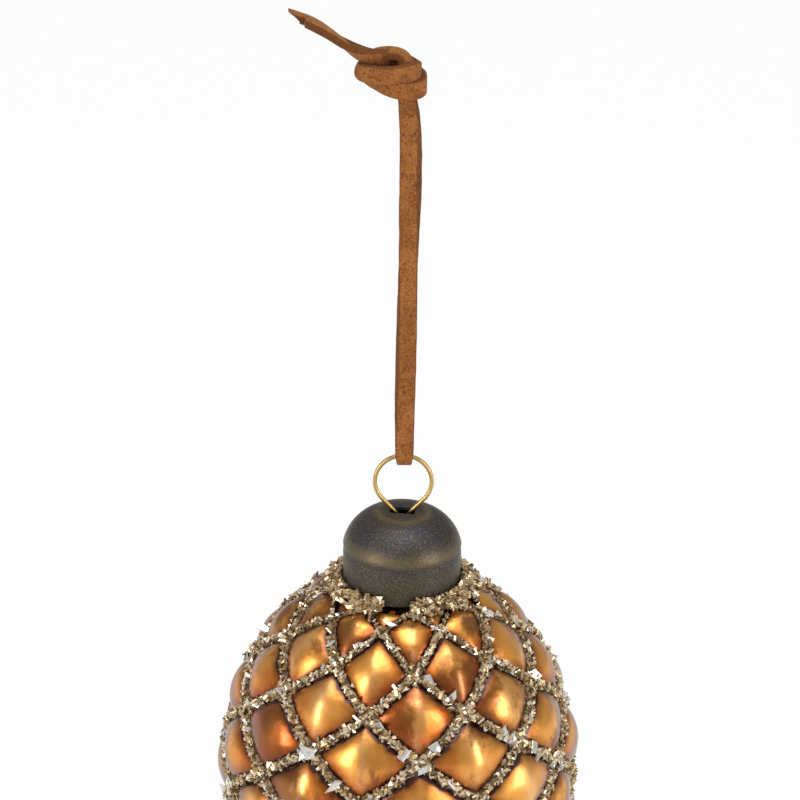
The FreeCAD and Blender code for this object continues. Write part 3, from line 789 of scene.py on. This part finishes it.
class ORNAMENT_OT_grains(bpy.types.Operator):
    """Scatter the crushed glass along the grooves: gold grains, pale chips and silver shards"""

    bl_idname = "ornament.grains"
    bl_label = "Glitter grains"

    def execute(self, context):
        glitter = context.scene.ornament_glitter
        cone = cone_of(context.scene)
        gold, pale, shade = glitter.gold_colour, glitter.pale_colour, glitter.shade_colour
        gold_looks = (gold, pale, shade, 0.30, 0.70)
        pale_looks = (pale, glitter.bright_colour, gold, 0.18, 0.55)
        # Each kind with its seed, its spill past the band, its stand in mm and its sizes
        kinds = (
            ("gold_grains", glitter.grains, 11, 1.10, 0.45, (0.42, 0.78), gold_looks),
            ("pale_chips", glitter.chips, 12, 1.40, 0.50, (0.38, 0.74), pale_looks),
        )
        for name, number, seed, spill, stand, spread, looks in kinds:
            rng = np.random.default_rng(seed)
            rows, columns, s, t = band_places(cone, rng, number, glitter.band_share, spill)
            places, normals = self.on_crust(cone, glitter, rows, columns, s, t)
            smaller = 0.7 + 0.3 * cone.sides[rows] / cone.largest_side
            size = glitter.grain * rng.uniform(*spread, number) * smaller
            places = places + normals * (rng.uniform(-0.2, stand, number) * MM)[:, None]
            if name == "gold_grains":
                heap = self.against_cap(cone, context.scene.ornament_cap, rng, glitter.heaped)
                places = np.concatenate([places, heap])
                size = np.concatenate([size, glitter.grain * rng.uniform(*spread, glitter.heaped)])
            mesh = chips_mesh(name, rng, 3, places, random_turns(rng, len(places)), size)
            placed(name, mesh, grain_finish(name, *looks), smooth=False)
        rng = np.random.default_rng(21)
        rows, columns, s, t = band_places(cone, rng, glitter.shards, glitter.band_share, 1.5)
        places, normals = self.on_crust(cone, glitter, rows, columns, s, t)
        places = places + normals * (rng.uniform(0.35, 0.65, glitter.shards) * MM)[:, None]
        size = glitter.grain * rng.uniform(0.8, 1.8, glitter.shards)
        turns = facing_turns(rng, normals, 0.38)
        mesh = chips_mesh("silver_shards", rng, 4, places, turns, size, (0.06, 0.12), (0.35, 0.75))
        silver, glint = glitter.silver_colour, glitter.glint_colour
        finish = grain_finish("silver_shard", silver, glint, pale, 0.16, 0.60)
        placed("silver_shards", mesh, finish, smooth=False)
        return {"FINISHED"}

    @staticmethod
    def against_cap(cone, cap, rng, count):
        """Places heaped round the cap's rim, apart from a bare stretch at the front."""
        bare = (math.radians(-17), math.radians(9))
        angles = rng.uniform(bare[1], 2 * math.pi + bare[0], count)
        out = np.abs(rng.normal(0, 0.5, count)).clip(0, 1.2)
        radius = cap.radius + (0.55 + 2.6 * out) * MM
        height = cone.shoulder + (0.2 + rng.random(count) * 1.5 * (1.2 - out)) * MM
        return np.stack([radius * np.sin(angles), -radius * np.cos(angles), height], -1)

    @staticmethod
    def on_crust(cone, glitter, rows, columns, s, t):
        lift = crust_lift(cone, glitter, rows, s, t)
        return cone.place(rows, columns, s, t, lift), cone.normal(rows, columns, s, t)


class ORNAMENT_OT_cap(bpy.types.Operator):
    """Spin the domed cap with its slot"""

    bl_idname = "ornament.cap"
    bl_label = "Cap"

    AROUND = 128

    def execute(self, context):
        cap = context.scene.ornament_cap
        outer, inner, rub = self.outline(cap)
        line = outer + inner
        angles = np.arange(self.AROUND) * 2 * math.pi / self.AROUND
        rings = [
            np.stack([r * np.cos(angles), r * np.sin(angles), np.full(self.AROUND, z - cap.drop)], -1)
            for r, z in line
        ]
        mesh = new_mesh("domed_cap", rings, swept_faces(len(rings), self.AROUND))
        set_attribute(mesh, "rub", np.repeat(rub + [0.0] * len(inner), self.AROUND))
        turned_out(mesh)
        made = placed("domed_cap", mesh, cap_finish(cap), ("cap",))
        cutter = self.slot_cutter(cap)
        cut = made.modifiers.new("slot", "BOOLEAN")
        cut.object = cutter
        cut.solver = "EXACT"
        applied(made)
        bpy.data.objects.remove(cutter)
        made.data.polygons.foreach_set("use_smooth", [True] * len(made.data.polygons))
        made.data.set_sharp_from_angle(angle=math.radians(42))
        return {"FINISHED"}

    @staticmethod
    def outline(cap):
        """(radius, height) from the middle of the top to the rim and back inside, and the rubbed edges."""
        centre = shoulder_centre(cap)
        start = math.atan2(-centre.y, cap.top_radius - centre.x)
        end = math.atan2(-cap.shoulder - centre.y, cap.radius - centre.x)
        outer = [(0.25 * cap.top_radius * k, 0.0) for k in (0.2, 1, 2, 3)]
        outer += [(cap.top_radius * 0.93, -0.02 * MM)]
        rub = [0.0, 0.0, 0.0, 0.05, 0.35]
        steps = 24
        for k in range(steps + 1):
            a = start + (end - start) * k / steps
            radius = centre.x + cap.shoulder_radius * math.cos(a)
            height = centre.y + cap.shoulder_radius * math.sin(a)
            outer.append((radius, height - 0.10 * MM * math.exp(-k)))
            top_rim = 0.75 * math.exp(-((k - 0.8) / 1.7) ** 2)
            crease = 0.62 * math.exp(-((k - 22.0) / 3.2) ** 2)
            rub.append(max(top_rim, crease))
        for deep in np.arange(1, 13) / 12:
            pinch = 0.12 * MM * math.exp(-((deep - 0.09) / 0.06) ** 2)
            outer.append((cap.radius - pinch - 0.1 * MM * deep, -cap.shoulder - cap.skirt * deep))
            rub.append(0.06 + 0.10 * min(1.0, max(0.0, deep - 0.12) / 0.25))
        inside = cap.shoulder_radius - cap.wall
        low = -cap.shoulder - cap.skirt
        inner = [(cap.radius - 0.3 * MM, low), (cap.radius - cap.wall, low + 0.2 * MM)]
        inner += [(cap.radius - cap.wall, low + cap.skirt * k) for k in (0.3, 0.6, 0.9)]
        for a in np.linspace(end, start, 17):
            radius, height = centre.x + inside * math.cos(a), centre.y + inside * math.sin(a)
            if height < -cap.wall and radius < cap.radius - cap.wall:
                inner.append((radius, height))
        inner += [(cap.top_radius * k, -cap.wall) for k in (0.9, 0.6, 0.3, 0.05)]
        return outer, inner, rub

    @staticmethod
    def slot_cutter(cap):
        c, s = math.cos(cap.slot_turn), math.sin(cap.slot_turn)
        x, y = cap.slot_length / 2, cap.slot_width / 2
        signs = ((-1, -1), (1, -1), (1, 1), (-1, 1))
        corners = [(i * x * c - j * y * s, i * x * s + j * y * c) for i, j in signs]
        points = [(a, b, -cap.drop + z) for z in (-2 * MM, 2 * MM) for a, b in corners]
        return linked("slot_cutter", new_mesh("slot_cutter", points, swept_faces(2, 4)))


class ORNAMENT_OT_wire(bpy.types.Operator):
    """Bend the brass wire: a ring whose legs go into the slot and spring apart in the neck"""

    bl_idname = "ornament.wire"
    bl_label = "Hanger wire"

    LEG_GAP = 1.15 * MM
    ENTRY = 0.45 * MM
    FOOT = Vector((-7.1 * MM, -11.4 * MM))

    def execute(self, context):
        cap = context.scene.ornament_cap
        centre = Vector((0, cap.ring_rise))
        entry = Vector((-self.LEG_GAP, -self.ENTRY))
        to = entry - centre
        touch = math.atan2(to.y, to.x) - math.acos(cap.ring_radius / to.length)
        top = -1.5 * math.pi
        ring = [
            centre + Vector((math.cos(a), math.sin(a))) * cap.ring_radius
            for a in np.linspace(touch if touch < 0 else touch - 2 * math.pi, top, 110)
        ]
        legs = [self.FOOT + (entry - self.FOOT) * k for k in (0, 0.3, 0.6, 0.85)]
        left = legs + [entry + Vector((0.05 * MM, 0)), entry + (ring[0] - entry) * 0.5] + ring
        line = [(p.x, 0.0, p.y - cap.drop) for p in left]
        line += [(-x, y, z) for x, y, z in reversed(line[:-1])]
        line = np.array(line)
        tangents = unit(np.gradient(line, axis=0))
        deep = np.array([0.0, 1.0, 0.0])
        side = np.cross(tangents, deep)
        sides = 16
        points = []
        for k, point in enumerate(line):
            for i in range(sides):
                a = 2 * math.pi * i / sides
                points.append(point + cap.wire_radius * (math.cos(a) * deep + math.sin(a) * side[k]))
        mesh = new_mesh("ring_wire", points, swept_faces(len(line), sides))
        placed("ring_wire", mesh, wire_finish(cap), ("hanger_wire",))
        return {"FINISHED"}


# Three ways that a face of the lace often looks
BACK, FRONT, TAIL_LOOK = (0, 1, 0), (0, -1, 0), (0.45, 0.1, 0.87)
# The lace's route in millimetres: the place, and the way that one face looks. It runs from
# the long tail's tip through the knot, down the back, round the ring's top, up the front, and through the
# knot again to the short tail's tip.
LACE_ROUTE = (
    (-20, 1.6, 15.9, TAIL_LOOK),
    (-17.8, 1.6, 15.2, TAIL_LOOK),
    (-14.8, 1.6, 13.2, TAIL_LOOK),
    (-9, 1.8, 9.3, (0.3, 0.6, 0.6)),
    (-5.2, 2.8, 7.6, (0, 1, 0.1)),
    (-1.6, 3.1, 6.2, BACK),
    (1.6, 2.4, 4.8, (0.3, 1, 0)),
    (2.35, 0.7, 4.3, (1, 0.2, 0)),
    (2.25, -1.8, 4.2, (1, -0.5, 0)),
    (0.2, -3.3, 4, (0.1, -1, 0)),
    (-3.2, -3.3, 4.6, (-0.1, -1, 0)),
    (-6.6, -2.2, 6, (-0.5, -1, 0)),
    (-8.6, -0.5, 6.8, (-1, 0, 0)),
    (-8.6, 0.9, 7, (-0.6, 0.8, 0.3)),
    (-6.2, 1.2, 7.6, BACK),
    (-3.4, 1.1, 7, BACK),
    (-1.2, 1, 5, BACK),
    (-0.4, 0.85, 1, BACK),
    (0.5, 0.85, -4.3, (0.1, 1, 0)),
    (0.75, 0.9, -15, (0.2, 1, 0)),
    (0.3, 0.95, -28, (0.2, 1, 0)),
    (0, 0.95, -42, (-0.1, 1, 0)),
    (-0.1, 1.05, -56, (-0.2, 1, 0)),
    (0, 1.25, -63, (-0.1, 1, 0)),
    (0.1, 1.35, -67.5, BACK),
    (0.1, 1.35, -70.2, (0, 0.7, -0.7)),
    (0.1, -1.35, -70.2, (0, -0.7, -0.7)),
    (0.1, -1.35, -67.5, FRONT),
    (0.1, -1.25, -63, (0.05, -1, 0)),
    (0.2, -1, -56, (0.1, -1, 0)),
    (0.3, -0.95, -42, (0.15, -1, 0)),
    (0.2, -0.95, -28, FRONT),
    (0.1, -0.9, -15, (-0.2, -1, 0)),
    (0.1, -0.9, -4.3, (-0.1, -1, 0)),
    (-0.4, -0.9, 1, FRONT),
    (-0.6, -1, 5, FRONT),
    (-0.8, -1.2, 7.6, (0.5, -0.9, 0)),
    (-0.8, -0.7, 9.3, (0.9, -0.2, 0.5)),
    (-2.4, -0.5, 10.3, (0.3, 0, 1)),
    (-4.6, -0.4, 10.2, (0, -0.1, 1)),
    (-7, 0.3, 9.4, (-0.6, 0, 0.8)),
    (-9.1, -0.1, 7.6, (-1, 0.1, 0.3)),
    (-8.9, -1.6, 6.9, (-1, -0.5, 0)),
    (-6.4, -3, 6.9, (-0.3, -1, 0)),
    (-3.6, -3.4, 6.9, FRONT),
    (-1, -3.3, 7.3, (0.1, -1, 0)),
    (1.2, -1.9, 7.5, (0.9, -0.6, 0)),
    (1.3, 0.2, 6.8, (1, 0.3, 0)),
    (-0.5, 1, 7.5, (0.2, 1, 0)),
    (-2.6, 0.6, 8.8, (-0.4, 1, 0)),
    (-4.9, -1.3, 9.5, (-0.1, 1, 0.3)),
    (-8.7, -1.7, 10.2, (0.3, 0.7, 0.6)),
    (-11.8, -1.7, 12.1, (0.45, 0.2, 0.87)),
    (-14.8, -1.7, 14.4, TAIL_LOOK),
    (-18.8, -1.7, 16.4, TAIL_LOOK),
)


class ORNAMENT_OT_lace(bpy.types.Operator):
    """Run the suede lace through the ring and its overhand knot"""

    bl_idname = "ornament.lace"
    bl_label = "Suede lace"

    FIRST_SLANT, LAST_SLANT = -3.0, 0.3
    HOOK_LEVEL, HOOK_REACH, HOOK_PINCH = -70.4, 1.6, 0.22

    def execute(self, context):
        lace = context.scene.ornament_lace
        line = self.smooth_line([Vector(at) * MM for *at, _ in LACE_ROUTE])
        looks = [(Vector(at) + Vector(look).normalized()) * MM for *at, look in LACE_ROUTE]
        beside = self.smooth_line(looks)
        tangents = unit(np.gradient(line, axis=0))
        face = beside - line
        face = unit(face - (face * tangents).sum(1)[:, None] * tangents)
        side = np.cross(tangents, face)
        section = self.section(lace.width / 2, lace.thickness / 2)
        points, across = [], []
        slants = {0: self.FIRST_SLANT, len(line) - 1: self.LAST_SLANT}
        for k, at in enumerate(line):
            slant = slants.get(k, 0.0)
            hook = math.exp(-((at[2] / MM - self.HOOK_LEVEL) / self.HOOK_REACH) ** 2)
            ragged = 1.04 - self.HOOK_PINCH * hook + 0.05 * noise.noise(Vector(at) * 500)
            for w, f in section:
                shear = tangents[k] * slant * f
                points.append(at + side[k] * w * ragged + face[k] * f + shear)
                across.append(abs(w) / (lace.width / 2))
        mesh = new_mesh("suede_lace", points, swept_faces(len(line), len(section)))
        set_attribute(mesh, "across", across)
        nodes = ("lace_loop", "lace_knot", "lace_tail_long", "lace_tail_short")
        made = placed("suede_lace", mesh, suede_finish(lace), nodes)
        return {"FINISHED"}

    @staticmethod
    def smooth_line(points):
        """Points along a smooth spline that has these control points."""
        curve = bpy.data.curves.new("lace_route", "CURVE")
        curve.dimensions = "3D"
        spline = curve.splines.new("NURBS")
        spline.points.add(len(points) - 1)
        for control, at in zip(spline.points, points):
            control.co = (*at, 1.0)
        spline.order_u = 3
        spline.use_endpoint_u = True
        spline.resolution_u = 12
        holder = bpy.data.objects.new("lace_route", curve)
        mesh = bpy.data.meshes.new_from_object(holder)
        line = np.array([v.co[:] for v in mesh.vertices])
        bpy.data.objects.remove(holder)
        bpy.data.curves.remove(curve)
        bpy.data.meshes.remove(mesh)
        return line

    @staticmethod
    def section(half_width, half_thickness):
        """Outline of the lace: a flat strip with softened corners."""
        corner = half_thickness * 0.55
        points = []
        for sign_w, sign_f, start in ((1, 1, 0), (-1, 1, 90), (-1, -1, 180), (1, -1, 270)):
            for k in range(4):
                a = math.radians(start + 30 * k)
                w, f = sign_w * (half_width - corner), sign_f * (half_thickness - corner)
                points.append((w + corner * math.cos(a), f + corner * math.sin(a)))
        return points


class ORNAMENT_OT_stage(bpy.types.Operator):
    """Set the pale floor, the soft studio light and the camera"""

    bl_idname = "ornament.stage"
    bl_label = "Stage"

    # Each lamp's place, width, height and power in watts
    LAMPS = (
        ((-1.05, -0.75, 0.15), 0.25, 1.0, 8.0),
        ((1.05, -0.65, 0.15), 0.25, 1.0, 7.0),
        ((0.0, -0.3, 1.25), 1.1, 0.9, 13.0),
    )

    def execute(self, context):
        scene = context.scene
        stage = scene.ornament_stage
        aim = Vector((-stage.aim_side, 0, -stage.aim_drop))
        back = Vector((0, -math.cos(stage.elevation), math.sin(stage.elevation)))
        camera = bpy.data.cameras.new("camera")
        camera.lens = stage.lens
        camera.clip_end = 50
        holder = linked("camera", camera)
        holder.location = aim + back * stage.distance
        level_view = Matrix.Rotation(math.pi / 2 - stage.elevation, 3, "X")
        holder.rotation_euler = (level_view @ Matrix.Rotation(stage.roll, 3, "Z")).to_euler()
        scene.camera = holder

        level = CAD_BOX[0][2] - stage.floor_drop
        reach, steps = 4.0, 48
        points = [
            (reach * math.cos(2 * math.pi * i / steps), reach * math.sin(2 * math.pi * i / steps), level)
            for i in range(steps)
        ]
        mesh = new_mesh("floor", points, [tuple(range(steps))])
        mesh.materials.append(floor_finish(stage))
        linked("floor", mesh)

        for number, (place, width, height, watts) in enumerate(self.LAMPS):
            lamp = bpy.data.lights.new(f"softbox_{number}", "AREA")
            lamp.shape = "RECTANGLE"
            lamp.size, lamp.size_y = width, height
            lamp.energy = watts
            box = linked(lamp.name, lamp)
            box.location = place
            middle = Vector((0, 0, -0.12))
            box.rotation_euler = (middle - Vector(place)).to_track_quat("-Z", "Y").to_euler()

        world = bpy.data.worlds.new("plain_surroundings")
        world.use_nodes = True
        background = world.node_tree.nodes["Background"]
        background.inputs["Color"].default_value = (1.0, 1.0, 1.0, 1.0)
        background.inputs["Strength"].default_value = stage.world_level
        scene.world = world
        scene.view_settings.view_transform = "Standard"
        return {"FINISHED"}


class ORNAMENT_PT_panel(bpy.types.Panel):
    """Sizes and colours of the ornament, and a button for each piece"""

    bl_label = "Pine cone ornament"
    bl_idname = "ORNAMENT_PT_panel"
    bl_space_type = "VIEW_3D"
    bl_region_type = "UI"
    bl_category = "Ornament"

    def draw(self, context):
        layout = self.layout
        for label, name in GROUPS:
            box = layout.box()
            box.label(text=label)
            group = getattr(context.scene, name)
            for key in group.__annotations__:
                box.prop(group, key)
        for operator in OPERATORS:
            layout.operator(operator.bl_idname)


GROUPS = (
    ("Glass", "ornament_glass"),
    ("Glitter", "ornament_glitter"),
    ("Cap and wire", "ornament_cap"),
    ("Lace", "ornament_lace"),
    ("Stage", "ornament_stage"),
)
SIZES = (GlassSizes, GlitterSizes, CapSizes, LaceSizes, StageSizes)
OPERATORS = (
    ORNAMENT_OT_stage,
    ORNAMENT_OT_lace,
    ORNAMENT_OT_glass,
    ORNAMENT_OT_crust,
    ORNAMENT_OT_grains,
    ORNAMENT_OT_cap,
    ORNAMENT_OT_wire,
)


def register():
    for made in (*SIZES, *OPERATORS, ORNAMENT_PT_panel):
        bpy.utils.register_class(made)
    for (_, name), group in zip(GROUPS, SIZES):
        setattr(bpy.types.Scene, name, PointerProperty(type=group))


def unregister():
    for _, name in GROUPS:
        delattr(bpy.types.Scene, name)
    for made in reversed((*SIZES, *OPERATORS, ORNAMENT_PT_panel)):
        bpy.utils.unregister_class(made)


def main():
    register()
    for operator in OPERATORS:
        group, name = operator.bl_idname.split(".")
        getattr(getattr(bpy.ops, group), name)()


if __name__ == "__main__":
    main()
